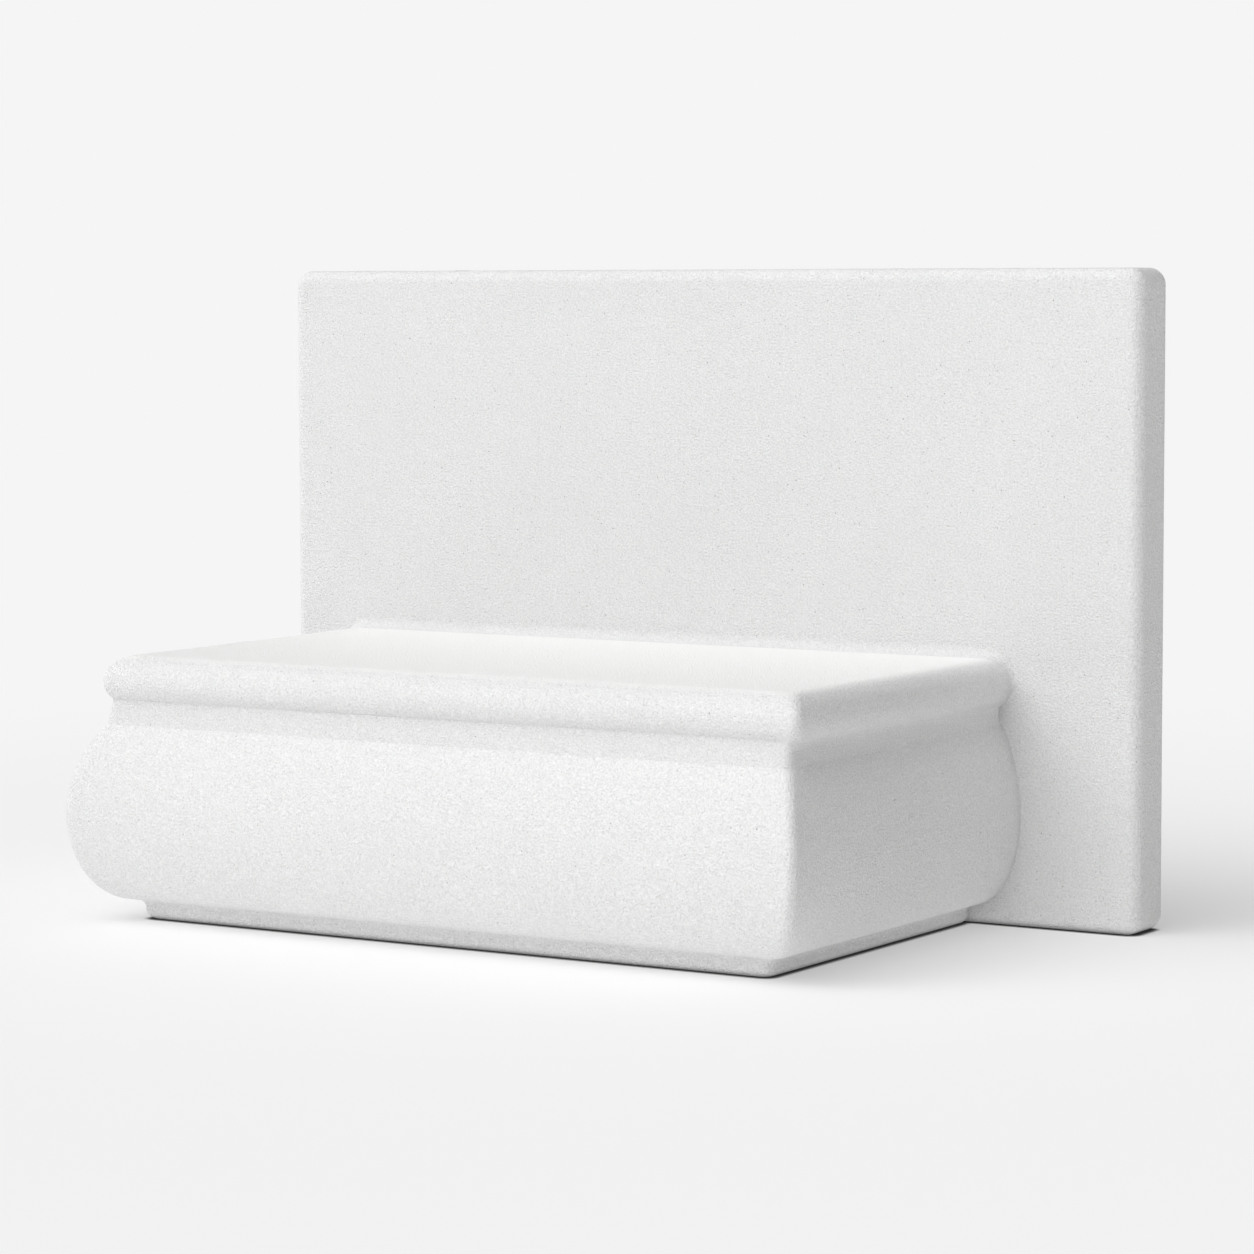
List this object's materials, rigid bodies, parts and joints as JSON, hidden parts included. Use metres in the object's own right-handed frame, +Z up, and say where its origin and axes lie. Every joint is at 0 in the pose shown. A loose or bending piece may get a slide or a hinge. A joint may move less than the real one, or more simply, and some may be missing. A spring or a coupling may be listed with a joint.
{
  "type": "concrete bench barrier",
  "caption": "Free-standing precast concrete street barrier: moulded belly block, bullnose seat slab and upright back slab, bolted and mortared together.",
  "frame": {"origin": "on the ground, in the middle of the footprint's bounding rectangle", "axes": "+X along the bench towards the end where the back slab runs past the block furthest, -Y the side people sit on, +Z up"},
  "size_m": [1.55, 0.8, 1],
  "materials": {
    "cast_concrete": "fine cast white concrete, matt",
    "mortar": "rubbed flush, matt",
    "reinforcing_steel": "mill scale",
    "stainless_steel": "drawn",
    "zinc_plated_steel": "zinc plated",
    "sleeve_plastic": "extruded"
  },
  "bodies": {
    "root": {"belly_block": "cast_concrete", "seat_slab": "cast_concrete", "back_slab": "cast_concrete", "bed_joint": "mortar", "back_joint": "mortar", "cove_fillet": "mortar", "dowel_grout": "mortar", "recess_plugs": "mortar", "block_spacers": "mortar", "seat_spacers": "mortar", "block_long_bars": "reinforcing_steel", "block_links": "reinforcing_steel", "seat_long_bars": "reinforcing_steel", "seat_cross_bars": "reinforcing_steel", "slab_uprights": "reinforcing_steel", "slab_levels": "reinforcing_steel", "seat_dowels": "stainless_steel", "tie_sockets": "zinc_plated_steel", "tie_socket_pins": "zinc_plated_steel", "tie_bolts": "zinc_plated_steel", "tie_washers": "zinc_plated_steel", "lifting_sockets": "zinc_plated_steel", "lifting_pins": "zinc_plated_steel", "ground_sockets": "zinc_plated_steel", "ground_pins": "zinc_plated_steel", "tie_sleeves": "sleeve_plastic"}
  },
  "joints": []
}
